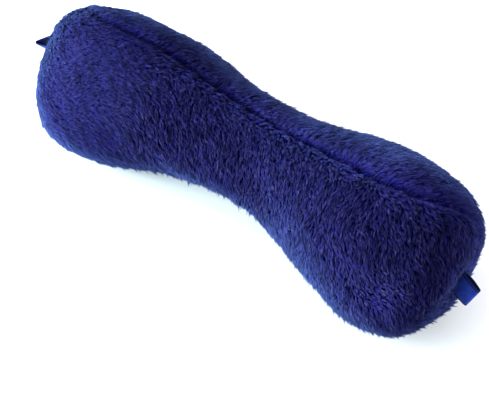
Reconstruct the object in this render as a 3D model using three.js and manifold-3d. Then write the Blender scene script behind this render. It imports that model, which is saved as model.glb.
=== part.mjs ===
// A bone-shaped neck pillow: three plush panels sewn edge to edge round a soft filling, with a ribbon loop at
// each end. It lies on its underside on a level surface, with one seam along its top. The plush solid reaches
// as far as the tips of the pile. Millimetres and degrees, +Z up, +X along the pillow, -Y to the front.

import * as THREE from 'three';
import { mergeVertices } from 'three/addons/utils/BufferGeometryUtils.js';
import Module from 'manifold-3d';

const wasm = await Module();
wasm.setup();

// Driving dimensions of the pillow
const waistReach = 48; // mean radius of the section at the waist
const waistHeight = 59; // from the surface to the middle of the waist's section
const tilt = 3; // how far the sections' middles rise from the waist to the right end, and sink to the left
const panels = 3;
const ridge = 0.07; // how far a section stands out at its seams and in at mid panel, as a share of its reach
const seamTurn = 5; // how far the seams are turned towards the front at the waist
const seamSwing = 5; // how much further they are turned halfway to the right end, and less to the left one
const contactSoftness = 6; // the height over which the underside rounds off into its flat rest
const seamDepth = 3.6;
const seamHalfWidth = 7;
const lumpHeight = 1.3; // unevenness of the filling
const lumpLength = 29; // one radian of the lumps' wave along the pillow
const fadeReach = 40; // near the ends, where a section is smaller than this, seams and lumps fade out
const dimpleRadius = 26;

// The pillow's halves, each from the waist to its end.
// lobe: mean radius at the lobe's widest section, which lies at the share lobePlace of the length.
// squareness: how flat the end is, from 2 for a ball to 10 and more for a drum.
// bow: how far the axis curves to the front, and bend: the power of that curve.
// endBack, endRise: how far the end point lies behind and above the axis. endTurn: how far the seams are turned
// to the back where they meet at the end. dimple: how far the gathered seams draw the end in.
const leftHalf = {
  length: 213, lobe: 73, lobePlace: 0.8, squareness: 10,
  bow: 32, bend: 2.5, endBack: 16, endRise: 22, endTurn: 35, dimple: 3,
};
const rightHalf = {
  length: 217, lobe: 75, lobePlace: 0.68, squareness: 8,
  bow: 24, bend: 2, endBack: 0, endRise: 12, endTurn: 62, dimple: 5,
};

// Driving dimensions of the ribbon loops
const ribbonWidth = 20;
const ribbonThickness = 1.1;
const legDepth = 8; // how far each leg goes down into the pile, to the seam
const clearance = 0.3;

// How finely the plush solid is divided: rings along the pillow, and points of a ring on each panel
const ringCount = 66;
const pointsPerPanel = 16;
const seamCrowding = 0.07; // draws a panel's points towards its seams
const foldSteps = 10; // straight stretches of a ribbon's fold

const plush = new THREE.MeshStandardMaterial({ color: 0x26295f, roughness: 0.95, metalness: 0 });
const leftRibbon = new THREE.MeshStandardMaterial({ color: 0x2b3a8c, roughness: 0.7, metalness: 0 });
const rightRibbon = leftRibbon.clone();

const radians = THREE.MathUtils.degToRad;
const panelAngle = (2 * Math.PI) / panels;

function halfAt(x) {
  return x < 0 ? leftHalf : rightHalf;
}

// The section at x: its mean radius, how far its seams are turned towards the front, and how far its middle
// lies behind and above the waist's.
function sectionAt(x) {
  const half = halfAt(x);
  const at = x / half.length;
  const out = Math.abs(at);
  const swell = Math.sin((Math.PI / 2) * Math.min(1, out / half.lobePlace)) ** 2;
  const nearEnd = Math.min(1, out ** half.squareness);
  return {
    reach: (waistReach + (half.lobe - waistReach) * swell) * Math.sqrt(1 - nearEnd),
    turn: radians(seamTurn + seamSwing * Math.sin(Math.PI * at) - half.endTurn * nearEnd),
    back: half.endBack * nearEnd - half.bow * out ** half.bend,
    lift: tilt * at + half.endRise * nearEnd,
  };
}

// Low lumps of the filling, as a height over the smooth section: a broad wave that wanders along the pillow as it
// goes round, twice to a turn, and a narrow one, three times to a turn.
function lump(x, angle) {
  const along = x / lumpLength;
  const broad = Math.sin(along + 2 * Math.cos(angle)) * Math.cos(2 * angle + 0.8);
  const narrow = Math.sin(1.7 * along + 1.7) * Math.cos(3 * angle + 0.5 * along + 2.1);
  return lumpHeight * (broad + 0.6 * narrow);
}

// The valley along each seam.
function seamValley(reach, angle) {
  const fromSeam = Math.abs(angle - panelAngle * Math.round(angle / panelAngle)) * reach;
  return seamDepth * Math.exp(-((fromSeam / seamHalfWidth) ** 2));
}

// Heights below the surface are pressed flat onto it, with a soft round where they leave it.
function settle(height) {
  if (height <= -contactSoftness) return 0;
  if (height >= contactSoftness) return height;
  return (height + contactSoftness) ** 2 / (4 * contactSoftness);
}

// A point of the plush surface. angle goes from the top seam over the front panel and round.
function plushPoint(x, angle) {
  const { reach, turn, back, lift } = sectionAt(x);
  const fade = Math.min(1, reach / fadeReach);
  const relief = lump(x, angle) - seamValley(reach, angle);
  const radius = reach * (1 + ridge * Math.cos(panels * angle)) + fade * relief;
  const inward = halfAt(x).dimple * Math.exp(-((reach / dimpleRadius) ** 2));
  return new THREE.Vector3(
    x - Math.sign(x) * inward,
    back - radius * Math.sin(angle + turn),
    settle(waistHeight + lift + radius * Math.cos(angle + turn)),
  );
}

// The angles of one ring's points, closer together at the seams.
function ringAngles() {
  const angles = [];
  for (let panel = 0; panel < panels; panel++) {
    for (let i = 0; i < pointsPerPanel; i++) {
      const share = i / pointsPerPanel;
      angles.push(panelAngle * (panel + share - seamCrowding * Math.sin(2 * Math.PI * share)));
    }
  }
  return angles;
}

// Rings of points from end to end, closed by one point at each end.
function plushGeometry() {
  const angles = ringAngles();
  const around = angles.length;
  const points = [plushPoint(-leftHalf.length, 0)];
  for (let ring = 1; ring < ringCount; ring++) {
    const place = -Math.cos((Math.PI * ring) / ringCount);
    for (const angle of angles) points.push(plushPoint(place * halfAt(place).length, angle));
  }
  const last = points.push(plushPoint(rightHalf.length, 0)) - 1;

  const vertexOf = (ring, i) => 1 + (ring - 1) * around + (i % around);
  const triangles = [];
  for (let i = 0; i < around; i++) {
    triangles.push(0, vertexOf(1, i + 1), vertexOf(1, i));
    for (let ring = 1; ring < ringCount - 1; ring++) {
      const [a, b] = [vertexOf(ring, i), vertexOf(ring, i + 1)];
      const [c, d] = [vertexOf(ring + 1, i + 1), vertexOf(ring + 1, i)];
      triangles.push(a, b, c, a, c, d);
    }
    triangles.push(last, vertexOf(ringCount - 1, i), vertexOf(ringCount - 1, i + 1));
  }
  const geometry = new THREE.BufferGeometry().setFromPoints(points);
  geometry.setIndex(triangles);
  return geometry;
}

// Geometry into a solid that can be cut, and back again.
function toSolid(geometry) {
  const bare = geometry.clone();
  for (const name of ['normal', 'uv']) bare.deleteAttribute(name);
  const merged = mergeVertices(bare, 1e-4);
  return new wasm.Manifold(
    new wasm.Mesh({
      numProp: 3,
      vertProperties: new Float32Array(merged.attributes.position.array),
      triVerts: new Uint32Array(merged.index.array),
    }),
  );
}

function toGeometry(solid) {
  const mesh = solid.getMesh();
  const geometry = new THREE.BufferGeometry();
  geometry.setAttribute('position', new THREE.BufferAttribute(mesh.vertProperties, 3));
  geometry.setIndex(new THREE.BufferAttribute(mesh.triVerts, 1));
  geometry.computeVertexNormals();
  return geometry;
}

// The loops. reach: from the pillow's end point to the ribbon's fold. spread: between the middles of the legs
// where they leave the pile. fold: radius of the fold. yaw, droop: how far the loop points to the front and down.
// roll: how far the ribbon's width is turned upright.
const leftLoop = {
  name: 'loop_left', side: -1, reach: 28, spread: 15, fold: 1.6,
  yaw: 28, droop: 14, roll: 57, material: leftRibbon,
};
const rightLoop = {
  name: 'loop_right', side: 1, reach: 16, spread: 4, fold: 1.6,
  yaw: 18, droop: 12, roll: 70, material: rightRibbon,
};
const loops = [leftLoop, rightLoop];

// Where a loop is sewn in: the pillow's end point, and the directions out of the end, across the gap between
// the legs, and along the ribbon's width.
function loopFrame({ side, yaw, droop, roll }) {
  const end = plushPoint(side * halfAt(side).length, 0);
  const heading = new THREE.Euler(0, side * radians(droop), -side * radians(yaw), 'ZYX');
  const out = new THREE.Vector3(side, 0, 0).applyEuler(heading);
  const level = new THREE.Vector3(0, 0, 1).cross(out).normalize();
  const width = level.applyAxisAngle(out, radians(roll));
  const gap = width.clone().cross(out);
  return new THREE.Matrix4().makeBasis(out, gap, width).setPosition(end);
}

// The middle line of the ribbon seen from its edge: two legs in the pile that close in towards a round fold.
function loopSpine({ reach, spread, fold }) {
  const spine = [new THREE.Vector2(-legDepth, spread / 2), new THREE.Vector2(0, spread / 2)];
  for (let i = 0; i <= foldSteps; i++) {
    const turned = Math.PI * (i / foldSteps);
    spine.push(new THREE.Vector2(reach - fold + fold * Math.sin(turned), fold * Math.cos(turned)));
  }
  spine.push(new THREE.Vector2(0, -spread / 2), new THREE.Vector2(-legDepth, -spread / 2));
  return spine;
}

// The ribbon as a solid, or with grow, the same that much larger on every side.
function ribbonGeometry(loop, grow = 0) {
  const spine = loopSpine(loop);
  spine[0].x -= grow;
  spine[spine.length - 1].x -= grow;
  const sideOf = (offset) =>
    spine.map((point, i) => {
      const before = spine[Math.max(i - 1, 0)];
      const after = spine[Math.min(i + 1, spine.length - 1)];
      const along = after.clone().sub(before).normalize();
      return new THREE.Vector2(point.x - along.y * offset, point.y + along.x * offset);
    });
  const halfThickness = ribbonThickness / 2 + grow;
  const outline = [...sideOf(-halfThickness), ...sideOf(halfThickness).reverse()];
  const depth = ribbonWidth + 2 * grow;
  const ribbon = new THREE.ExtrudeGeometry(new THREE.Shape(outline), { depth, bevelEnabled: false });
  return ribbon.translate(0, 0, -depth / 2).applyMatrix4(loopFrame(loop));
}

// The plush, with room for the ribbons where they go down into it.
function makePillow() {
  const ribbons = loops.map((loop) => toSolid(ribbonGeometry(loop, clearance)));
  const cut = ribbons.reduce((solid, ribbon) => solid.subtract(ribbon), toSolid(plushGeometry()));
  const mesh = new THREE.Mesh(toGeometry(cut), plush);
  mesh.name = 'pillow';
  return mesh;
}

function makeLoop(loop) {
  const mesh = new THREE.Mesh(ribbonGeometry(loop), loop.material);
  mesh.name = loop.name;
  return mesh;
}

const assembly = new THREE.Group();
assembly.add(makePillow(), ...loops.map(makeLoop));

// The origin is on the surface, under the middle of the whole thing.
const box = new THREE.Box3().setFromObject(assembly, true);
const middle = box.getCenter(new THREE.Vector3());
assembly.position.set(-middle.x, -middle.y, -box.min.z);

const neckPillow = new THREE.Group();
neckPillow.add(assembly);

export default neckPillow;
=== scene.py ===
"""A bone-shaped plush neck pillow with a ribbon loop at each end, on its underside on a pale studio floor.

Three plush panels are sewn edge to edge round a soft filling. The backing cloth is blown up between its
pinned seams by a short cloth simulation. The pile on it is real geometry: locks of curved, tapered strands
that follow each panel's nap, part along the seams and lie flat under the pillow. Metres, +Z up, +X along the
pillow, -Y to the front.
"""

import math
from collections import namedtuple

import bpy
import numpy as np
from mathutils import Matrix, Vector

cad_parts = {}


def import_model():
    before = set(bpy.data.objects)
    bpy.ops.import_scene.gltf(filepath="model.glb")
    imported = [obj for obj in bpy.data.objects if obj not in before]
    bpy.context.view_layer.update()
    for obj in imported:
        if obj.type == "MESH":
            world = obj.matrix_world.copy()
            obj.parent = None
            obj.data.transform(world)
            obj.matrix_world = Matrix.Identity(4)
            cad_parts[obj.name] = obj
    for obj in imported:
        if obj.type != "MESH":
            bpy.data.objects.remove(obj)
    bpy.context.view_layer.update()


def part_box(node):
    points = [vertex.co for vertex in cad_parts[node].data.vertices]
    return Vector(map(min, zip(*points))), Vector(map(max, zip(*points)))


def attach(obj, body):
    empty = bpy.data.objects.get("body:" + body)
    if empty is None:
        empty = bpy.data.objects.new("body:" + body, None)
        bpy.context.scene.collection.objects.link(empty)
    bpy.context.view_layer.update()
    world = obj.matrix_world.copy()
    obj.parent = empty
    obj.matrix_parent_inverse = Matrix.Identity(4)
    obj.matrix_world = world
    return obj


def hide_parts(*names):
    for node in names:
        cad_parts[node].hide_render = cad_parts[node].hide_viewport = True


MM = 0.001

# The form that the tips of the pile reach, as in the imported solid. Its sections are set about the waist's
# middle.
WAIST_REACH = 48 * MM  # mean radius of the section
WAIST_HEIGHT = 59 * MM
TILT = 3 * MM  # how far the sections' middles rise from the waist to the right end, and sink to the left
PANELS = 3
PANEL_ANGLE = 2 * math.pi / PANELS
HALF_PANEL_COSINE = 0.5  # of the angle from a seam to the middle of a panel
RIDGE = 0.07  # how far a section stands out at its seams and in at mid panel, as a share of its reach
SEAM_TURN = math.radians(5)  # how far the seams are turned towards the front at the waist
SEAM_SWING = math.radians(5)  # how much further halfway to the right end, and less to the left one
LUMP_HEIGHT = 1.3 * MM
LUMP_LENGTH = 29 * MM
FADE_REACH = 40 * MM  # near the ends, where a section is smaller than this, seams and lumps fade out
DIMPLE_RADIUS = 26 * MM

# The pillow's halves, each from the waist to its end. lobe: mean radius at the widest section, at the share
# lobe_place of the length. squareness: how flat the end is. bow: how far the axis curves to the front, with
# bend as the power of that curve. end_back, end_rise: how far the end point lies behind and above the axis.
# end_turn: how far the seams are turned to the back where they meet. dimple: how far they draw the end in.
Half = namedtuple("Half", "length lobe lobe_place squareness bow bend end_back end_rise end_turn dimple")
LEFT_HALF = Half(
    length=213 * MM,
    lobe=73 * MM,
    lobe_place=0.8,
    squareness=10,
    bow=32 * MM,
    bend=2.5,
    end_back=16 * MM,
    end_rise=22 * MM,
    end_turn=math.radians(35),
    dimple=3 * MM,
)
RIGHT_HALF = Half(
    length=217 * MM,
    lobe=75 * MM,
    lobe_place=0.68,
    squareness=8,
    bow=24 * MM,
    bend=2,
    end_back=0,
    end_rise=12 * MM,
    end_turn=math.radians(62),
    dimple=5 * MM,
)

# Where the filling is fuller or slacker than the even form, by how much, and over what width
Bulge = namedtuple("Bulge", "x angle width height")
BULGES = (
    Bulge(x=-203 * MM, angle=35, width=30 * MM, height=3 * MM),
    Bulge(x=-195 * MM, angle=-35, width=28 * MM, height=-6 * MM),
    Bulge(x=-145 * MM, angle=-45, width=30 * MM, height=-1.5 * MM),
    Bulge(x=-90 * MM, angle=-60, width=34 * MM, height=3.5 * MM),
    Bulge(x=-170 * MM, angle=105, width=28 * MM, height=1 * MM),
    Bulge(x=-85 * MM, angle=112, width=34 * MM, height=-3.5 * MM),
    Bulge(x=170 * MM, angle=-50, width=26 * MM, height=1 * MM),
    Bulge(x=210 * MM, angle=-20, width=26 * MM, height=1.5 * MM),
)

# The backing cloth under the pile
RINGS = 72
AROUND = 72
PILE_DEPTH = 5.2 * MM  # from the backing out to the tips
SLEEK_LOSS = 1.2 * MM  # how much less it is where the pile lies flattest
CRUSHED_DEPTH = 2.5 * MM  # the same under the pillow, where its weight lies on the pile
SOFT_REST = 6 * MM  # the height over which the underside rounds off into its flat rest
FILLING_SWELL = 4 * MM  # the most that the simulation may move the cloth
SEAM_DEPTH = 6 * MM
LOWER_SEAM_SHARE = 0.35  # how deep the two lower seams are beside the top one
SEAM_HALF_WIDTH = 3.5 * MM
PUCKER_LENGTH = 17 * MM
PUCKER_SHARE = 0.2  # how much a seam's depth varies from pucker to pucker
PINNED_WITHIN = 1 * MM  # how near to a seam the cloth is held while it is filled
FILLING_PRESSURE = 4
FILLING_STEPS = 20  # frames of the cloth simulation

# The pile
LOCK_SPACING = 2.1 * MM
STRANDS_IN_LOCK = 4
STRAND_STEPS = 2
STRAND_LENGTH = 7.8 * MM
STRAND_RADIUS = 0.34 * MM
STRAND_SIDES = math.radians(115)  # from a strand's ridge down to each of its sides; its underside is open
LOCK_RADIUS = 1.3 * MM
LOOSE_SHARE = 0.1  # the share of the locks that stand up out of the pile
SHORTEST, LONGEST = 0.85, 1.12  # locks, as shares of STRAND_LENGTH
LENGTH_PATCH, LENGTH_SWAY = 12 * MM, 0.12  # width of patches of longer and shorter pile, and by what share
SEAM_SHORTENING = 0.3  # the share of their length that strands lose along a seam
LOOSE_GAIN = 0.12  # the share that loose ones gain
LEAN = 50  # degrees that a strand's middle leans over from straight up off the cloth
LEAN_PATCH, LEAN_SWAY = 30 * MM, 8  # width of patches that lean more and less, and by how many degrees
LEAN_SCATTER, BEND_SCATTER = 5, 10  # degrees by which locks side by side differ
SLEEK_LEAN = 15  # how much further it leans where the pile is sleek
SEAM_LEAN = 6  # how much less along a seam
HANGING_LEAN = 12  # how much less where the panel faces down
HANGING_RATE = 1.5  # how fast that comes as the panel turns downward
LOOSE_LEAN = 20  # how much less in a loose lock
BEND = 88  # degrees that a strand bends from root to tip
SLEEK_BEND = 16  # how much less where the pile is sleek
CURL = 0.5  # radians by which locks turn sideways along their length
LOCK_HEART = 0.15  # the share of a lock's area, at its middle, where no strand grows
GATHER = 0.6  # how far the tips of a lock's strands draw together
GATHER_POWER = 0.8  # below 1, they draw together sooner along their length
TWIST = 0.7  # radians by which a lock's strands wind about each other
STRAND_SCATTER = 0.4  # radians by which strands lie and are turned unevenly
SHORTEST_STRAND, LONGEST_STRAND = 0.82, 1.1  # as shares of their lock's length
THINNEST, THICKEST = 0.8, 1.15  # strands, as shares of STRAND_RADIUS
STRAND_TAPER = 0.25  # how much thinner a strand gets over its whole length, apart from its pointed tip
LOCK_SCATTER = 0.22  # how far locks side by side differ in heading, in radians
PATCH_WIDTH, PATCH_TURN = 60 * MM, 0.22  # broad patches of nap, and how far they are turned, in radians
TUFT_WIDTH, TUFT_TURN, SLEEK_TURN = 17 * MM, 0.27, 0.15  # the same for tufts, less SLEEK_TURN where sleek
SEAM_BRUSH = 30  # degrees that the nap of the front panel is turned below the top seam
FLAT_LOW, FLAT_HIGH = 0.35 * MM, 1.6 * MM  # heights at which strands lie pressed flat on the floor
TRIES_A_CELL = 9  # places that are tried for each lock, of which the first in a cell is kept
CELLS_A_SIDE = 4096  # more than there are, so that each cell has a number of its own
FACING_DOWN_FROM, FACING_DOWN_RANGE = 0.6, 0.3  # of the downward part of the normal, for the thinning
HIDDEN_THINNING = 0.93  # the share of the locks left out where the pillow lies on the floor
UNDER_THINNING = 0.6  # the same where its underside is clear of the floor
HIDDEN_BELOW, SHOWN_ABOVE = 6 * MM, 14 * MM  # heights of the backing, from the one thinning to the other
SLEEK_FROM, SLEEK_TO = 80 * MM, 135 * MM  # over this stretch the pile of the left lobe turns smooth
SLEEK_SHARE = 0.6  # how sleek the back panel and the pile along the top seam are, beside the left lobe
SLEEK_EVENNESS = 0.6  # how much more alike locks are where the pile is sleek
# Shares by which the scatter of headings, the loose locks and the gathering of tips lessen there
SLEEK_COMBING, SLEEK_TIDYING, SLEEK_SPREADING = 0.5, 0.8, 0.9
SEAM_FADES_FROM = 135 * MM  # from the waist
LEFT_SEAM_LOSS, RIGHT_SEAM_LOSS = 0.9, 0.45  # how much less plainly a seam shows at each end
SLEEK_TOP = 16 * MM  # how far below the top seam the pile still lies along it
THIRD = 85 * MM  # from the waist to where the pile's middle pieces end
PARTING_WIDTH = 3.5 * MM  # how far from a seam the pile still stands up and leans away from it
PARTING_SHARE = 0.3  # how much of the pile's heading that is, right beside the seam
PILE_STRAY = 9 * MM  # how far two panels' naps mingle across a seam that the pile hides

# The ribbon loops. reach: from the pillow's end point to the fold. spread: between the middles of the legs
# where they leave the pile. yaw, droop: how far the loop points to the front and down. roll: how far the
# ribbon's width is turned upright.
RIBBON_WIDTH = 20 * MM
RIBBON_THICKNESS = 0.9 * MM
FOLD_RADIUS = 1.6 * MM
LEG_DEPTH = 8 * MM
LEG_BELLY = 0.7 * MM  # how far a leg bows out from a straight line
RIBBON_COLUMNS = 10
LEG_ROWS, FOLD_ROWS = 8, 10
Loop = namedtuple("Loop", "name side reach spread yaw droop roll")
LOOPS = (
    Loop(name="loop_left", side=-1, reach=28 * MM, spread=15 * MM, yaw=28, droop=14, roll=57),
    Loop(name="loop_right", side=1, reach=16 * MM, spread=4 * MM, yaw=18, droop=12, roll=70),
)


# Geometry of the filled form


def half_at(x):
    """The half that each x lies in: a Half whose fields are arrays."""
    return Half(*(np.where(x < 0, left, right) for left, right in zip(LEFT_HALF, RIGHT_HALF)))


def section_at(x):
    """Each section's mean radius, its seams' turn to the front, and how far behind and above the waist."""
    half = half_at(x)
    at = x / half.length
    out = np.abs(at)
    swell = np.sin(math.pi / 2 * np.minimum(1, out / half.lobe_place)) ** 2
    near_end = np.minimum(1, out**half.squareness)
    reach = (WAIST_REACH + (half.lobe - WAIST_REACH) * swell) * np.sqrt(1 - near_end)
    turn = SEAM_TURN + SEAM_SWING * np.sin(math.pi * at) - half.end_turn * near_end
    back = half.end_back * near_end - half.bow * out**half.bend
    lift = TILT * at + half.end_rise * near_end
    return reach, turn, back, lift


def lump(x, angle):
    """Low, broad lumps of the filling, as two crossing waves."""
    along = x / LUMP_LENGTH
    broad = np.sin(along + 2 * np.cos(angle)) * np.cos(2 * angle + 0.8)
    narrow = np.sin(1.7 * along + 1.7) * np.cos(3 * angle + 0.5 * along + 2.1)
    return LUMP_HEIGHT * (broad + 0.6 * narrow)


def form_points(x, angle):
    """Points of the smooth form, before its seams are drawn in and before it settles on the floor."""
    reach, turn, back, lift = section_at(x)
    fade = np.minimum(1, reach / FADE_REACH)
    radius = reach * (1 + RIDGE * np.cos(PANELS * angle)) + fade * lump(x, angle)
    inward = half_at(x).dimple * np.exp(-((reach / DIMPLE_RADIUS) ** 2))
    return np.stack(
        [
            x - np.sign(x) * inward,
            back - radius * np.sin(angle + turn),
            WAIST_HEIGHT + lift + radius * np.cos(angle + turn),
        ],
        axis=1,
    )


def bulging(x, angle):
    """How far the filling stands out beyond the even form at each point."""
    form = form_points(x, angle)
    total = np.zeros(len(form))
    for bulge in BULGES:
        middle = form_points(np.array([bulge.x]), np.radians([bulge.angle]))
        total += bulge.height * np.exp(-((lengths(form - middle)[:, 0] / bulge.width) ** 2))
    return total


def frame_shift():
    """From the waist's axis to the part's origin: level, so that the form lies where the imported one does."""
    form = form_points(*backing_grid())
    low, high = np.array(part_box("pillow"))
    shift = (low + high - form.min(0) - form.max(0)) / 2
    shift[2] = 0
    return shift


def settle(height, rest):
    """Heights below rest are pressed flat onto it, with a soft round where they leave it."""
    above = height - rest
    soft = (above + SOFT_REST) ** 2 / (4 * SOFT_REST)
    return rest + np.where(above <= -SOFT_REST, 0, np.where(above >= SOFT_REST, above, soft))


def lengths(vectors):
    return np.linalg.norm(vectors, axis=-1, keepdims=True)


def unit(vectors):
    return vectors / np.maximum(lengths(vectors), 1e-12)


WAVES_IN_FIELD = 7
FIELD_HEIGHT = 3.2  # that many waves together stay within it in most places


def waves(points, wavelength, seed):
    """A smooth random field over the points, about -1 to 1, with its hills about a wavelength apart."""
    random = np.random.default_rng(seed)
    headings = unit(random.normal(size=(WAVES_IN_FIELD, 3))) * random.uniform(0.7, 1.5, (WAVES_IN_FIELD, 1))
    phases = random.uniform(0, 2 * math.pi, WAVES_IN_FIELD)
    return np.sin(points @ headings.T * (2 * math.pi / wavelength) + phases).sum(1) / FIELD_HEIGHT


# The backing cloth


def panel_at(angle):
    """The panel that each angle lies in: 0 in front, 1 underneath, 2 behind."""
    return (angle // PANEL_ANGLE).astype(int) % PANELS


def sleekness(x, angle):
    """Where the pile lies flat and smooth, from 0 to 1: the left lobe, the back panel, along the top seam."""
    left = np.clip((-x - SLEEK_FROM) / (SLEEK_TO - SLEEK_FROM), 0, 1)
    left = left**2 * (3 - 2 * left)
    below_seam = np.exp(-((section_at(x)[0] * angle / SLEEK_TOP) ** 2))
    return np.maximum(left, SLEEK_SHARE * np.maximum(panel_at(angle) == 2, below_seam))


def backing_grid():
    """x and angle of the backing's vertices: a point at the left end, the rings, a point at the right."""
    place = -np.cos(math.pi * np.arange(1, RINGS) / RINGS)
    ring_x = place * half_at(place).length
    angles = 2 * math.pi * np.arange(AROUND) / AROUND
    x = np.concatenate([[-LEFT_HALF.length], np.repeat(ring_x, AROUND), [RIGHT_HALF.length]])
    angle = np.concatenate([[0], np.tile(angles, RINGS - 1), [0]])
    return x, angle


def backing_faces():
    """Quads between the rings, and a fan of triangles at each end, all facing out."""
    last = (RINGS - 1) * AROUND + 1
    faces = []
    for i in range(AROUND):
        after = (i + 1) % AROUND
        faces.append((0, 1 + after, 1 + i))
        for ring in range(RINGS - 2):
            low, high = 1 + ring * AROUND, 1 + (ring + 1) * AROUND
            faces.append((low + i, low + after, high + after, high + i))
        faces.append((last, last - AROUND + i, last - AROUND + after))
    return faces


def read_vectors(items, field):
    """A vector from each of a mesh's items, as the rows of an array."""
    found = np.empty(len(items) * 3, np.float32)
    items.foreach_get(field, found)
    return found.reshape(-1, 3).astype(float)


def positions(mesh):
    return read_vectors(mesh.vertices, "co")


def set_positions(mesh, points):
    mesh.vertices.foreach_set("co", points.astype(np.float32).ravel())
    mesh.update()


def vertex_normals(mesh):
    return read_vectors(mesh.vertex_normals, "vector")


def seam_strength(x):
    """How plainly a seam shows, from 1 at the waist to less near the ends, where the pile closes over it."""
    near_end = np.clip((np.abs(x) - SEAM_FADES_FROM) / (LEFT_HALF.length - SEAM_FADES_FROM), 0, 1)
    return 1 - np.where(x < 0, LEFT_SEAM_LOSS, RIGHT_SEAM_LOSS) * near_end


def from_seam(x, angle):
    """How far each point lies from the nearest seam, round the section."""
    reach = section_at(x)[0]
    return np.abs(angle - PANEL_ANGLE * np.round(angle / PANEL_ANGLE)) * reach


def add_to_scene(name, mesh):
    piece = bpy.data.objects.new(name, mesh)
    bpy.context.scene.collection.objects.link(piece)
    return piece


def fill_out(backing, pinned):
    """Blows the cloth up between its pinned seams, and keeps the result as its shape."""
    start = positions(backing.data)
    pins = backing.vertex_groups.new(name="seams")
    pins.add([int(i) for i in np.flatnonzero(pinned)], 1.0, "REPLACE")
    cloth = backing.modifiers.new("filling", "CLOTH")
    cloth.settings.use_pressure = True
    cloth.settings.uniform_pressure_force = FILLING_PRESSURE
    cloth.settings.effector_weights.gravity = 0
    cloth.settings.vertex_group_mass = pins.name
    cloth.settings.quality = 4
    scene = bpy.context.scene
    for step in range(FILLING_STEPS):
        scene.frame_set(step + 1)
    evaluated = backing.evaluated_get(bpy.context.evaluated_depsgraph_get())
    moved = positions(evaluated.data) - start
    scene.frame_set(1)
    backing.modifiers.remove(cloth)
    backing.vertex_groups.clear()
    capped = moved * np.minimum(1, FILLING_SWELL / np.maximum(lengths(moved), 1e-9))
    set_positions(backing.data, start + capped)


def make_backing(shift):
    """The backing cloth of the three panels, filled, with its seams drawn in, resting on crushed pile."""
    x, angle = backing_grid()
    mesh = bpy.data.meshes.new("backing")
    mesh.from_pydata((form_points(x, angle) + shift).tolist(), [], backing_faces())
    mesh.update()
    backing = add_to_scene("backing", mesh)
    depth = PILE_DEPTH - SLEEK_LOSS * sleekness(x, angle) - bulging(x, angle)
    set_positions(mesh, positions(mesh) - vertex_normals(mesh) * depth[:, None])
    seam_gap = from_seam(x, angle)
    reach = section_at(x)[0]
    grain = mesh.uv_layers.new(name="grain")
    for corner in mesh.loops:
        grain.data[corner.index].uv = (x[corner.vertex_index], (reach * angle)[corner.vertex_index])
    fill_out(backing, seam_gap < PINNED_WITHIN)

    fade = np.minimum(1, reach / FADE_REACH)
    pucker = 1 + PUCKER_SHARE * np.sin(2 * math.pi * x / PUCKER_LENGTH + 2 * angle)
    by_top_seam = np.cos(angle) > HALF_PANEL_COSINE
    share = seam_strength(x) * np.where(by_top_seam, 1, LOWER_SEAM_SHARE)
    depth = SEAM_DEPTH * share * fade * pucker * np.exp(-((seam_gap / SEAM_HALF_WIDTH) ** 2))
    even = mesh.attributes.new("even_normal", "FLOAT_VECTOR", "POINT")
    even.data.foreach_set("vector", vertex_normals(mesh).astype(np.float32).ravel())
    points = positions(mesh) - vertex_normals(mesh) * depth[:, None]
    points[:, 2] = settle(points[:, 2], CRUSHED_DEPTH)
    set_positions(mesh, points)
    mesh.polygons.foreach_set("use_smooth", np.ones(len(mesh.polygons), bool))
    return backing


# The pile

# even: the cloth's normal as it would be without the valleys of the seams
Roots = namedtuple("Roots", "point normal even x angle")


def roots_on(backing):
    """Places of the locks on the backing cloth: evenly scattered, about one to each cell of LOCK_SPACING."""
    mesh = backing.data
    x, angle = backing_grid()
    points, normals = positions(mesh), vertex_normals(mesh)
    even = read_vectors(mesh.attributes["even_normal"].data, "vector")
    rings = 1 + np.arange((RINGS - 1) * AROUND).reshape(RINGS - 1, AROUND)
    corners = np.stack(
        [
            rings[:-1].ravel(),
            np.roll(rings, -1, axis=1)[:-1].ravel(),
            np.roll(rings, -1, axis=1)[1:].ravel(),
            rings[1:].ravel(),
        ],
        axis=1,
    )
    spread = angle[corners]
    spread = np.where((spread.max(1, keepdims=True) - spread) > math.pi, spread + 2 * math.pi, spread)

    a, b, c, d = (points[corners[:, i]] for i in range(4))
    areas = lengths(np.cross(c - a, d - b))[:, 0] / 2
    random = np.random.default_rng(11)
    tries = int(TRIES_A_CELL * areas.sum() / LOCK_SPACING**2)
    quad = random.choice(len(areas), tries, p=areas / areas.sum())
    u, v = random.random((2, tries))
    weights = np.stack([(1 - u) * (1 - v), u * (1 - v), u * v, (1 - u) * v], axis=1)[:, :, None]
    at = corners[quad]
    point = (points[at] * weights).sum(1)
    cell = np.floor(point / LOCK_SPACING).astype(np.int64)
    kept = np.unique(cell @ np.array([1, CELLS_A_SIDE, CELLS_A_SIDE**2]), return_index=True)[1]
    normal = unit((normals[at] * weights).sum(1))
    facing_down = np.clip((-normal[kept, 2] - FACING_DOWN_FROM) / FACING_DOWN_RANGE, 0, 1)
    near_floor = np.clip((SHOWN_ABOVE - point[kept, 2]) / (SHOWN_ABOVE - HIDDEN_BELOW), 0, 1)
    thinning = facing_down * (UNDER_THINNING + (HIDDEN_THINNING - UNDER_THINNING) * near_floor)
    kept = kept[random.random(len(kept)) > thinning]
    return Roots(
        point=point[kept],
        normal=normal[kept],
        even=unit((even[at] * weights).sum(1))[kept],
        x=(x[at] * weights[:, :, 0]).sum(1)[kept],
        angle=((spread[quad] * weights[:, :, 0]).sum(1) % (2 * math.pi))[kept],
    )


def on_surface(direction, normal):
    """The part of a direction that lies in the surface, as a unit vector."""
    return unit(direction - (direction * normal).sum(-1, keepdims=True) * normal)


def turned(direction, normal, by):
    """Directions in the surface, turned round its normal."""
    return direction * np.cos(by)[:, None] + np.cross(normal, direction) * np.sin(by)[:, None]


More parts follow.
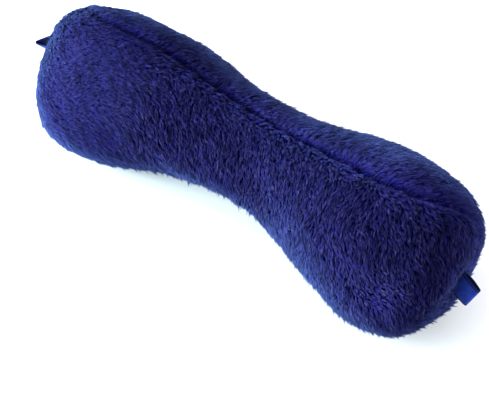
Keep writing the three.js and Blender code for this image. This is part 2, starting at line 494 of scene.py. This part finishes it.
FRONT_NAP = np.array([0.62, -0.52, -0.62])  # brushed down the front panel, and towards the right end
BACK_NAP = np.array([0.79, 0.61, 0.0])  # brushed along the back panel, and away from the top seam
UNDER_NAP = np.array([0.3, 0.95, 0.0])

# Places where handling has turned the nap: how far round the surface's normal, over about what width
Stroke = namedtuple("Stroke", "x angle width turn")
STROKES = (
    Stroke(x=-150 * MM, angle=50, width=62 * MM, turn=85),
    Stroke(x=-60 * MM, angle=75, width=26 * MM, turn=-24),
    Stroke(x=60 * MM, angle=60, width=30 * MM, turn=18),
    Stroke(x=165 * MM, angle=72, width=20 * MM, turn=75),
    Stroke(x=120 * MM, angle=20, width=24 * MM, turn=-28),
)


def nap(roots, random):
    """The way each lock leans over the cloth, how near it is to a seam, and its panel.

    It leans along its panel's nap, turned by handling and away from the seams.
    """
    strength = seam_strength(roots.x)
    reach, section_turn = section_at(roots.x)[:2]
    strayed = random.normal(0, PILE_STRAY, len(roots.x)) * (1 - strength)
    panel = panel_at(roots.angle + strayed / np.maximum(reach, PILE_STRAY))
    brushed = np.array([FRONT_NAP, UNDER_NAP, BACK_NAP])[panel]
    lying = on_surface(brushed, roots.normal)
    sleek = sleekness(roots.x, roots.angle)
    tuft_turn = TUFT_TURN - SLEEK_TURN * sleek
    swirl = PATCH_TURN * waves(roots.point, PATCH_WIDTH, 3) + tuft_turn * waves(roots.point, TUFT_WIDTH, 4)
    for stroke in STROKES:
        round_it = reach * (roots.angle - math.radians(stroke.angle))
        nearness = np.exp(-((roots.x - stroke.x) ** 2 + round_it**2) / stroke.width**2)
        swirl += math.radians(stroke.turn) * nearness * (panel == 0)
    below_seam = strength * np.exp(-((reach * roots.angle / SLEEK_TOP) ** 2))
    lying = turned(lying, roots.normal, swirl + math.radians(SEAM_BRUSH) * below_seam * (panel == 0))

    nearest = PANEL_ANGLE * np.round(roots.angle / PANEL_ANGLE)
    side = np.sign(roots.angle - nearest)[:, None]
    facing = roots.angle + section_turn
    round_section = np.stack([np.zeros_like(facing), -np.cos(facing), -np.sin(facing)], axis=1)
    away = on_surface(round_section * side, roots.normal)
    near = (strength * np.exp(-((from_seam(roots.x, roots.angle) / PARTING_WIDTH) ** 2)))[:, None]
    leaning = unit(lying * (1 - PARTING_SHARE * near) + away * PARTING_SHARE * near)
    return leaning, near[:, 0], panel_at(roots.angle)


def strand_lines(roots, random):
    """Middle lines, by lock, strand and step, with each lock's sideways heading and its panel."""
    locks = len(roots.x)
    lying, near_seam, panel = nap(roots, random)
    sleek = sleekness(roots.x, roots.angle)
    uneven = 1 - SLEEK_EVENNESS * sleek
    lying = turned(lying, roots.normal, random.normal(0, LOCK_SCATTER, locks) * (1 - SLEEK_COMBING * sleek))
    across = np.cross(roots.normal, lying)
    steps = np.linspace(0, 1, STRAND_STEPS + 1)

    length = STRAND_LENGTH * (1 + LENGTH_SWAY * waves(roots.point, LENGTH_PATCH, 5))
    length = length * random.uniform(SHORTEST, LONGEST, locks)
    loose = (random.random(locks) < LOOSE_SHARE) * (1 - SLEEK_TIDYING * sleek)
    length = length * (1 - SEAM_SHORTENING * near_seam) * (1 + LOOSE_GAIN * loose)
    sway = LEAN_SWAY * waves(roots.point, LEAN_PATCH, 6) + random.normal(0, LEAN_SCATTER, locks)
    hanging = HANGING_LEAN * np.clip(-HANGING_RATE * roots.normal[:, 2], 0, 1)
    full_lean = LEAN + SLEEK_LEAN * sleek + sway * uneven
    lean = np.radians(full_lean - SEAM_LEAN * near_seam - hanging - LOOSE_LEAN * loose)
    bend = np.radians(BEND - SLEEK_BEND * sleek + random.normal(0, BEND_SCATTER, locks))
    curl = random.normal(0, CURL, locks) * uneven
    middle = np.zeros((locks, STRAND_STEPS + 1, 3))
    for k in range(1, STRAND_STEPS + 1):
        share = (k - 0.5) / STRAND_STEPS
        tilt = (lean + bend * (share - 0.5))[:, None]
        heading = turned(lying, roots.normal, curl * (share - 0.3))
        step = roots.normal * np.cos(tilt) + heading * np.sin(tilt)
        middle[:, k] = middle[:, k - 1] + step * (length / STRAND_STEPS)[:, None]

    shape = (locks, STRANDS_IN_LOCK)
    spin = random.uniform(0, 2 * math.pi, (locks, 1))
    spin = spin + 2 * math.pi * np.arange(STRANDS_IN_LOCK) / STRANDS_IN_LOCK
    spin = spin + random.normal(0, STRAND_SCATTER, shape)
    off = LOCK_RADIUS * np.sqrt(random.uniform(LOCK_HEART, 1, shape))
    gather = 1 - GATHER * (1 - SLEEK_SPREADING * sleek[:, None, None]) * steps**GATHER_POWER
    angles = spin[:, :, None] + random.normal(0, TWIST, (locks, 1, 1)) * steps
    onward = lying[:, None, None] * np.cos(angles)[..., None]
    sideward = across[:, None, None] * np.sin(angles)[..., None]
    offset = (onward + sideward) * (off[:, :, None] * gather)[..., None]
    grown = random.uniform(SHORTEST_STRAND, LONGEST_STRAND, shape)
    lines = roots.point[:, None, None] + middle[:, None] * grown[:, :, None, None] + offset
    return lines, across, panel


def flatten_under(lines, random):
    """Strands that would go through the floor are pressed flat, each a little above it."""
    floor = random.uniform(FLAT_LOW, FLAT_HIGH, lines.shape[:2])[:, :, None]
    lines[..., 2] = np.maximum(lines[..., 2], floor)
    return lines


def strand_mesh(name, lines, across, tones):
    """One mesh of strands: a ridge and two sides, tapered to a point, with how far along each vertex is."""
    count, steps = lines.shape[0], STRAND_STEPS
    heading = np.empty((count, steps, 3))
    heading[:, 0] = lines[:, 1] - lines[:, 0]
    for k in range(1, steps):
        heading[:, k] = lines[:, k + 1] - lines[:, k - 1]
    heading = unit(heading)
    up = unit(np.cross(heading, across[:, None]))
    side = np.cross(heading, up)
    radius = STRAND_RADIUS * (1 - STRAND_TAPER * np.arange(steps) / steps) * tones["girth"][:, None]
    corner = tones["spin"][:, None] + np.array([STRAND_SIDES, 0, -STRAND_SIDES])
    upward = up[:, :, None] * np.cos(corner)[:, None, :, None]
    sideward = side[:, :, None] * np.sin(corner)[:, None, :, None]
    ring = (upward + sideward) * radius[:, :, None, None]
    rings = (lines[:, :steps, None] + ring).reshape(count, steps * 3, 3)
    points = np.concatenate([rings, lines[:, steps:]], axis=1)

    each = steps * 3 + 1
    last = 3 * steps - 3
    quads, tips = [], []
    for left, right in ((0, 1), (1, 2)):
        for k in range(steps - 1):
            quads.append((3 * k + left, 3 * k + 3 + left, 3 * k + 3 + right, 3 * k + right))
        tips.append((last + left, 3 * steps, last + right))
    base = (np.arange(count) * each)[:, None]
    corners = np.concatenate([np.array(quads).ravel(), np.array(tips).ravel()])
    sizes = np.array([4] * len(quads) + [3] * len(tips))

    mesh = bpy.data.meshes.new(name)
    mesh.vertices.add(count * each)
    mesh.loops.add(count * len(corners))
    mesh.polygons.add(count * len(sizes))
    mesh.vertices.foreach_set("co", points.astype(np.float32).ravel())
    mesh.loops.foreach_set("vertex_index", (base + corners).astype(np.int32).ravel())
    starts = np.concatenate([[0], np.cumsum(np.tile(sizes, count))[:-1]])
    mesh.polygons.foreach_set("loop_start", starts.astype(np.int32))
    mesh.polygons.foreach_set("use_smooth", np.ones(count * len(sizes), bool))
    mesh.update(calc_edges=True)

    along = np.concatenate([np.repeat(np.arange(steps) / steps, 3), [1.0]])
    held = {
        "along": np.tile(along, count),
        "strand_tone": np.repeat(tones["strand"], each),
        "lock_tone": np.repeat(tones["lock"], each),
    }
    for label, values in held.items():
        layer = mesh.attributes.new(label, "FLOAT", "POINT")
        layer.data.foreach_set("value", values.astype(np.float32))
    skin = mesh.attributes.new("skin_normal", "FLOAT_VECTOR", "POINT")
    skin.data.foreach_set("vector", np.repeat(tones["skin"], each, axis=0).astype(np.float32).ravel())

    bake_map(mesh, count, corners, along, tones["place"])
    return mesh


STRIP_SHAPE = 8  # how many times as high as wide each strand's strip is


def bake_map(mesh, count, corners, along, place):
    """A map for baked colours: a narrow upright strip for each strand, root at its foot, none overlapping."""
    columns = int(math.ceil(math.sqrt(count * STRIP_SHAPE)))
    rows = int(math.ceil(count / columns))
    left = (place % columns) / columns
    foot = (place // columns) / rows
    across = np.append(np.tile([0.15, 0.5, 0.85], STRAND_STEPS), 0.5)
    u = left[:, None] + across[corners] / columns
    v = foot[:, None] + (0.06 + 0.88 * along[corners]) / rows
    layer = mesh.uv_layers.new(name="OFBake", do_init=False)
    layer.uv.foreach_set("vector", np.stack([u, v], axis=2).astype(np.float32).ravel())


def make_pile(backing, material):
    """The pile of each panel, as a left, a middle and a right piece."""
    random = np.random.default_rng(29)
    roots = roots_on(backing)
    lines, across, panel = strand_lines(roots, random)
    lines = flatten_under(lines, random)
    uneven = 1 - SLEEK_EVENNESS * sleekness(roots.x, roots.angle)
    lock_tone = 0.5 + random.uniform(-0.5, 0.5, len(roots.x)) * uneven
    third = np.digitize(roots.x, [-THIRD, THIRD])
    pieces = []
    for index, name in enumerate(("front", "under", "back")):
        for part, place in enumerate(("left", "middle", "right")):
            chosen = np.flatnonzero((panel == index) & (third == part))
            strands = len(chosen) * STRANDS_IN_LOCK
            tones = {
                "girth": random.uniform(THINNEST, THICKEST, strands),
                "spin": random.normal(0, STRAND_SCATTER, strands),
                "strand": random.random(strands),
                "lock": np.repeat(lock_tone[chosen], STRANDS_IN_LOCK),
                "place": np.arange(strands),
                "skin": np.repeat(roots.even[chosen], STRANDS_IN_LOCK, axis=0),
            }
            mesh = strand_mesh(
                f"pile_{name}_{place}",
                lines[chosen].reshape(strands, STRAND_STEPS + 1, 3),
                np.repeat(across[chosen], STRANDS_IN_LOCK, axis=0),
                tones,
            )
            mesh.materials.append(material)
            pieces.append(add_to_scene(mesh.name, mesh))
    return pieces


# The ribbon loops


def loop_frame(loop, shift):
    """Where a loop is sewn in, and its directions out of the end, across its gap and along its width."""
    tip = LEFT_HALF.length if loop.side < 0 else RIGHT_HALF.length
    end = form_points(np.array([loop.side * tip]), np.array([0.0]))[0] + shift
    yaw, droop, roll = (math.radians(turn) for turn in (loop.yaw, loop.droop, loop.roll))
    level_out = (loop.side * math.cos(yaw) * math.cos(droop), -math.sin(yaw) * math.cos(droop))
    out = np.array([*level_out, -math.sin(droop)])
    level = unit(np.cross([0, 0, 1], out))
    width = level * math.cos(roll) + np.cross(out, level) * math.sin(roll)
    return end, out, np.cross(width, out), width


def loop_spine(loop):
    """The middle line of the ribbon seen from its edge: two slightly bowed legs and a round fold."""
    leg = [(-LEG_DEPTH, loop.spread / 2)]
    for share in np.linspace(0, 1, LEG_ROWS + 1)[:-1]:
        spread = loop.spread / 2 * (1 - share) + FOLD_RADIUS * share + LEG_BELLY * math.sin(math.pi * share)
        leg.append(((loop.reach - FOLD_RADIUS) * share, spread))
    fold = [
        (loop.reach - FOLD_RADIUS + FOLD_RADIUS * math.sin(turn), FOLD_RADIUS * math.cos(turn))
        for turn in np.linspace(0, math.pi, FOLD_ROWS + 1)
    ]
    return np.array(leg + fold + [(reach, -spread) for reach, spread in reversed(leg)])


def make_loop(loop, shift, material):
    """A ribbon folded in half and sewn in by its two ends, as a cloth sheet with a thickness."""
    end, out, gap, width = loop_frame(loop, shift)
    spine = loop_spine(loop)
    walked = np.concatenate([[0], np.cumsum(lengths(np.diff(spine, axis=0))[:, 0])])
    rows = RIBBON_COLUMNS + 1
    place = np.linspace(-0.5, 0.5, rows) * RIBBON_WIDTH
    middle = end + out * spine[:, :1] + gap * spine[:, 1:]
    points = (middle[:, None] + width * place[:, None]).reshape(-1, 3)
    faces = [
        (first, first + 1, first + rows + 1, first + rows)
        for i in range(len(spine) - 1)
        for first in range(i * rows, i * rows + RIBBON_COLUMNS)
    ]
    mesh = bpy.data.meshes.new(loop.name + "_ribbon")
    mesh.from_pydata(points.tolist(), [], faces)
    grain = mesh.uv_layers.new(name="grain")
    for corner in mesh.loops:
        i, j = divmod(corner.vertex_index, rows)
        grain.data[corner.index].uv = (walked[i], place[j])
    mesh.polygons.foreach_set("use_smooth", np.ones(len(mesh.polygons), bool))
    mesh.materials.append(material)
    piece = add_to_scene(mesh.name, mesh)
    thick = piece.modifiers.new("thickness", "SOLIDIFY")
    thick.thickness = RIBBON_THICKNESS
    thick.offset = 0
    return piece, walked[-1]


# Materials


def give(tree, socket, value):
    """Sets an input to a value, or joins another node's output to it."""
    if isinstance(value, bpy.types.NodeSocket):
        tree.links.new(value, socket)
    else:
        socket.default_value = value


def node(tree, kind, inputs=None, **settings):
    """Adds a node with its settings and its inputs, each by name or by number."""
    made = tree.nodes.new(kind)
    for name, value in settings.items():
        setattr(made, name, value)
    for name, value in (inputs or {}).items():
        give(tree, made.inputs[name], value)
    return made


def mix(tree, share, first, second):
    """A blend of two colours."""
    return node(tree, "ShaderNodeMix", {0: share, 6: first, 7: second}, data_type="RGBA").outputs[2]


def maths(tree, operation, *values):
    return node(tree, "ShaderNodeMath", dict(enumerate(values)), operation=operation).outputs[0]


def rescale(tree, value, low, high, new_low=0.0, new_high=1.0):
    """A value that eases from new_low to new_high while the one it follows goes from low to high."""
    limits = {"Value": value, "From Min": low, "From Max": high, "To Min": new_low, "To Max": new_high}
    return node(tree, "ShaderNodeMapRange", limits, interpolation_type="SMOOTHSTEP").outputs["Result"]


def scale_colour(tree, colour, by):
    return node(tree, "ShaderNodeVectorMath", {0: colour, "Scale": by}, operation="SCALE").outputs[0]


def attribute(tree, name):
    return node(tree, "ShaderNodeAttribute", attribute_name=name).outputs["Fac"]


def position(tree):
    return node(tree, "ShaderNodeTexCoord").outputs["Object"]


def new_group(name, inputs, outputs):
    """A node group with named inputs and outputs, and its two end nodes."""
    group = bpy.data.node_groups.new(name, "ShaderNodeTree")
    for label, kind in inputs.items():
        group.interface.new_socket(label, in_out="INPUT", socket_type="NodeSocket" + kind)
    for label, kind in outputs.items():
        group.interface.new_socket(label, in_out="OUTPUT", socket_type="NodeSocket" + kind)
    return group, node(group, "NodeGroupInput").outputs, node(group, "NodeGroupOutput").inputs


def make_mottle():
    """Soft, uneven tone over a surface, from 0 to 1, in patches about as wide as Size, in metres."""
    group, given, result = new_group("mottle", {"Position": "Vector", "Size": "Float"}, {"Tone": "Float"})
    per_metre = maths(group, "DIVIDE", 1.0, given["Size"])
    inputs = {"Vector": given["Position"], "Scale": per_metre, "Detail": 2.0}
    noise = node(group, "ShaderNodeTexNoise", inputs)
    give(group, result["Tone"], rescale(group, noise.outputs["Fac"], 0.3, 0.7))
    return group


def make_weave():
    """Threads that cross over and under each other, as a height from 0 to 1. Inputs are in metres."""
    group, given, result = new_group("weave", {"Grain": "Vector", "Pitch": "Float"}, {"Height": "Float"})
    turns = maths(group, "DIVIDE", 2 * math.pi, given["Pitch"])
    split = node(group, "ShaderNodeSeparateXYZ", {0: given["Grain"]}).outputs
    warp = maths(group, "SINE", maths(group, "MULTIPLY", split["X"], turns))
    weft = maths(group, "SINE", maths(group, "MULTIPLY", split["Y"], turns))
    give(group, result["Height"], rescale(group, maths(group, "MULTIPLY", warp, weft), -1.0, 1.0))
    return group


def group_node(tree, group, inputs):
    return node(tree, "ShaderNodeGroup", inputs, node_tree=group).outputs[0]


def new_material(name, roughness):
    """A material, its nodes, and the inputs of its one shader."""
    material = bpy.data.materials.new(name)
    material.use_nodes = True
    shader = material.node_tree.nodes["Principled BSDF"].inputs
    shader["Roughness"].default_value = roughness
    return material, material.node_tree, shader


ROOT_BLUE = (0.0006, 0.0004, 0.17, 1)
TIP_BLUE = (0.0172, 0.0147, 0.085, 1)
HIGHLIT_TIP = (0.056, 0.048, 0.115, 1)  # painted highlight: the tips of the palest strands, greyed where the fibres' ends catch the light
PAINTED_SHEEN_BLUE = (0.05, 0.083, 0.25, 1)  # painted sheen: the azure rim that fibres seen from the side show in the light
# KNIT_SHADE is painted shade, the colour of the knit where its threads dip
KNIT_SHADE, KNIT_BLUE = (0.002, 0.0015, 0.06, 1), (0.005, 0.004, 0.12, 1)
# RIBBON_SHADE is painted shade, the colour of the ribbon where its threads dip
RIBBON_SHADE, RIBBON_BLUE = (0.008, 0.02, 0.17, 1), (0.016, 0.045, 0.33, 1)
SELVEDGE_BLUE = (0.004, 0.008, 0.06, 1)
PAPER_SHADE, PAPER_WHITE = (0.91, 0.91, 0.915, 1), (0.93, 0.93, 0.93, 1)


def pile_material(mottle):
    """Plush fibres: deep blue at the root, duller and paler at the tip, uneven from strand to strand; a
    painted highlight greys the tips of the palest strands and a painted sheen tints fibres seen from the side.
    """
    material, tree, shader = new_material("plush_pile", 0.6)
    patches = group_node(tree, mottle, {"Position": position(tree), "Size": 38 * MM})
    uneven = maths(tree, "MULTIPLY_ADD", attribute(tree, "strand_tone"), 0.6, attribute(tree, "lock_tone"))
    body = mix(tree, rescale(tree, attribute(tree, "along"), 0.0, 0.9), ROOT_BLUE, TIP_BLUE)
    # Painted highlight: the tips of the palest strands are greyed as if they caught the light
    highlight_share = rescale(tree, uneven, 0.9, 1.6, 0.0, 0.75)
    body = mix(tree, maths(tree, "MULTIPLY", highlight_share, attribute(tree, "along")), body, HIGHLIT_TIP)
    # Painted sheen: where the cloth's own normal is seen side on, the fibres turn azure, less where the nap
    # points out of the right end
    skin = node(tree, "ShaderNodeAttribute", attribute_name="skin_normal").outputs["Vector"]
    side_on = node(tree, "ShaderNodeLayerWeight", {"Blend": 0.5, "Normal": skin}).outputs["Facing"]
    end_on = rescale(tree, node(tree, "ShaderNodeSeparateXYZ", {0: skin}).outputs["X"], 0.1, 0.7, 0.65, 0.25)
    body = mix(tree, maths(tree, "MULTIPLY", rescale(tree, side_on, 0.25, 1.0), end_on), body, PAINTED_SHEEN_BLUE)
    strand_gain = rescale(tree, uneven, 0.0, 1.6, 0.46, 1.08)
    gain = maths(tree, "MULTIPLY", strand_gain, rescale(tree, patches, 0, 1, 0.85, 1.12))
    give(tree, shader["Base Color"], scale_colour(tree, body, gain))
    shader["Specular IOR Level"].default_value = 0.03
    shader["Sheen Weight"].default_value = 0.26
    shader["Sheen Roughness"].default_value = 0.35
    shader["Sheen Tint"].default_value = (0.16, 0.3, 1, 1)
    return material


def backing_material(mottle, weave):
    """The knitted cloth that the pile grows from, seen only in the partings."""
    material, tree, shader = new_material("plush_backing", 0.9)
    grain = node(tree, "ShaderNodeUVMap", uv_map="grain").outputs[0]
    knit = group_node(tree, weave, {"Grain": grain, "Pitch": 2 * MM})
    patches = group_node(tree, mottle, {"Position": position(tree), "Size": 30 * MM})
    # Painted shade: the knit is darker where its threads dip and lighter on their crests
    thread = mix(tree, knit, KNIT_SHADE, KNIT_BLUE)
    give(tree, shader["Base Color"], scale_colour(tree, thread, rescale(tree, patches, 0, 1, 0.8, 1.2)))
    bump = node(tree, "ShaderNodeBump", {"Height": knit, "Distance": 0.3 * MM})
    give(tree, shader["Normal"], bump.outputs[0])
    return material


def ribbon_material(mottle, weave):
    """A fine woven ribbon with a darker selvedge along each edge."""
    material, tree, shader = new_material("loop_ribbon", 0.55)
    grain = node(tree, "ShaderNodeUVMap", uv_map="grain").outputs[0]
    threads = group_node(tree, weave, {"Grain": grain, "Pitch": 0.7 * MM})
    patches = group_node(tree, mottle, {"Position": position(tree), "Size": 6 * MM})
    from_middle = maths(tree, "ABSOLUTE", node(tree, "ShaderNodeSeparateXYZ", {0: grain}).outputs["Y"])
    selvedge = rescale(tree, from_middle, RIBBON_WIDTH / 2 - 1.8 * MM, RIBBON_WIDTH / 2 - 0.9 * MM)
    # Painted shade: the ribbon is darker where its threads dip and lighter on their crests
    face = mix(tree, threads, RIBBON_SHADE, RIBBON_BLUE)
    face = scale_colour(tree, face, rescale(tree, patches, 0, 1, 0.85, 1.15))
    give(tree, shader["Base Color"], mix(tree, selvedge, face, SELVEDGE_BLUE))
    height = maths(tree, "ADD", threads, selvedge)
    bump = node(tree, "ShaderNodeBump", {"Height": height, "Distance": 0.12 * MM})
    give(tree, shader["Normal"], bump.outputs[0])
    shader["Specular IOR Level"].default_value = 0.06
    return material


def floor_material(mottle):
    """White studio paper."""
    material, tree, shader = new_material("studio_floor", 0.7)
    patches = group_node(tree, mottle, {"Position": position(tree), "Size": 0.09})
    give(tree, shader["Base Color"], mix(tree, patches, PAPER_SHADE, PAPER_WHITE))
    give(tree, shader["Roughness"], rescale(tree, patches, 0, 1, 0.66, 0.74))
    return material


# Studio


FLOOR_REACH = 12.0  # from its middle to each of its sides


def make_floor(material):
    corners = [(FLOOR_REACH * x, FLOOR_REACH * y, 0) for x, y in ((-1, -1), (1, -1), (1, 1), (-1, 1))]
    mesh = bpy.data.meshes.new("floor")
    mesh.from_pydata(corners, [], [(0, 1, 2, 3)])
    mesh.materials.append(material)
    floor = add_to_scene("floor", mesh)


# Round lamps: where each stands and what it lights, its width, its power in watts and its colour
Lamp = namedtuple("Lamp", "name place target size power colour")
LAMPS = (
    Lamp(
        name="window",
        place=(-0.56, -0.5, 0.18),
        target=(-0.12, -0.04, 0.05),
        size=0.5,
        power=14,
        colour=(0.74, 0.96, 1.0),
    ),
    Lamp(
        name="fill",
        place=(0.6, 0.1, 0.16),
        target=(0.2, 0, 0.06),
        size=0.4,
        power=2.5,
        colour=(0.86, 0.93, 1.0),
    ),
)


def place_lamp(lamp):
    light = bpy.data.lights.new(lamp.name, "AREA")
    light.shape = "DISK"
    light.size = lamp.size
    light.energy = lamp.power
    light.color = lamp.colour
    placed = bpy.data.objects.new(lamp.name, light)
    placed.location = lamp.place
    facing = Vector(lamp.target) - Vector(lamp.place)
    placed.rotation_euler = facing.to_track_quat("-Z", "Y").to_euler()
    placed.visible_camera = False
    bpy.context.scene.collection.objects.link(placed)


WINDOW_SIDE = (-0.77, -0.62, 0.12)  # the studio's brightest side, off the pillow's left end
DIM_SIDE = (0.58, -0.6, 0.55)  # its dimmest part, behind the photographer
DIMMEST = 0.14  # what is left of the light there
PLAIN_TINT, WINDOW_TINT = (1.0, 0.99, 1.0, 1), (4.4, 5.0, 5.2, 1)
LEVEL_STRENGTH, OVERHEAD_STRENGTH = 2.8, 1.3


def light_studio():
    """A bright tent of light, brightest and coolest past the left end, and a low lamp off each end."""
    world = bpy.data.worlds.new("studio")
    bpy.context.scene.world = world
    world.use_nodes = True
    tree = world.node_tree
    towards = node(tree, "ShaderNodeTexCoord").outputs["Generated"]
    to_window = node(tree, "ShaderNodeVectorMath", {0: towards, 1: WINDOW_SIDE}, operation="DOT_PRODUCT")
    to_dim = node(tree, "ShaderNodeVectorMath", {0: towards, 1: DIM_SIDE}, operation="DOT_PRODUCT")
    brightest = rescale(tree, to_window.outputs["Value"], 0.35, 1.0)
    tint = mix(tree, brightest, PLAIN_TINT, WINDOW_TINT)
    tint = scale_colour(tree, tint, rescale(tree, to_dim.outputs["Value"], -0.2, 0.9, 1.0, DIMMEST))
    height = node(tree, "ShaderNodeSeparateXYZ", {0: towards}).outputs["Z"]
    background = tree.nodes["Background"].inputs
    give(tree, background["Color"], tint)
    strength = rescale(tree, height, 0.0, 1.0, LEVEL_STRENGTH, OVERHEAD_STRENGTH)
    give(tree, background["Strength"], strength)
    for lamp in LAMPS:
        place_lamp(lamp)


CAMERA_AZIMUTH = math.radians(37.4)
CAMERA_ELEVATION = math.radians(52)
CAMERA_DISTANCE = 1.0
CAMERA_AIM = (0.0162, -0.0329, 0.0335)


def make_camera():
    camera_data = bpy.data.cameras.new("camera")
    camera_data.lens = 85
    camera_data.sensor_width = 36
    camera = bpy.data.objects.new("camera", camera_data)
    back = Vector(
        (
            math.sin(CAMERA_AZIMUTH) * math.cos(CAMERA_ELEVATION),
            -math.cos(CAMERA_AZIMUTH) * math.cos(CAMERA_ELEVATION),
            math.sin(CAMERA_ELEVATION),
        )
    )
    camera.location = Vector(CAMERA_AIM) + back * CAMERA_DISTANCE
    camera.rotation_euler = (-back).to_track_quat("-Z", "Y").to_euler()
    bpy.context.scene.collection.objects.link(camera)
    bpy.context.scene.camera = camera


def main():
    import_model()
    bpy.context.scene.view_settings.view_transform = "Standard"
    make_camera()
    light_studio()
    mottle, weave = make_mottle(), make_weave()
    make_floor(floor_material(mottle))

    shift = frame_shift()
    backing = make_backing(shift)
    backing.data.materials.append(backing_material(mottle, weave))
    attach(backing, "root")
    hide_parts("pillow")
    for piece in make_pile(backing, pile_material(mottle)):
        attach(piece, "root")
    ribbon_look = ribbon_material(mottle, weave)
    for loop in LOOPS:
        piece, length = make_loop(loop, shift, ribbon_look)
        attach(piece, "root")
        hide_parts(loop.name)


main()
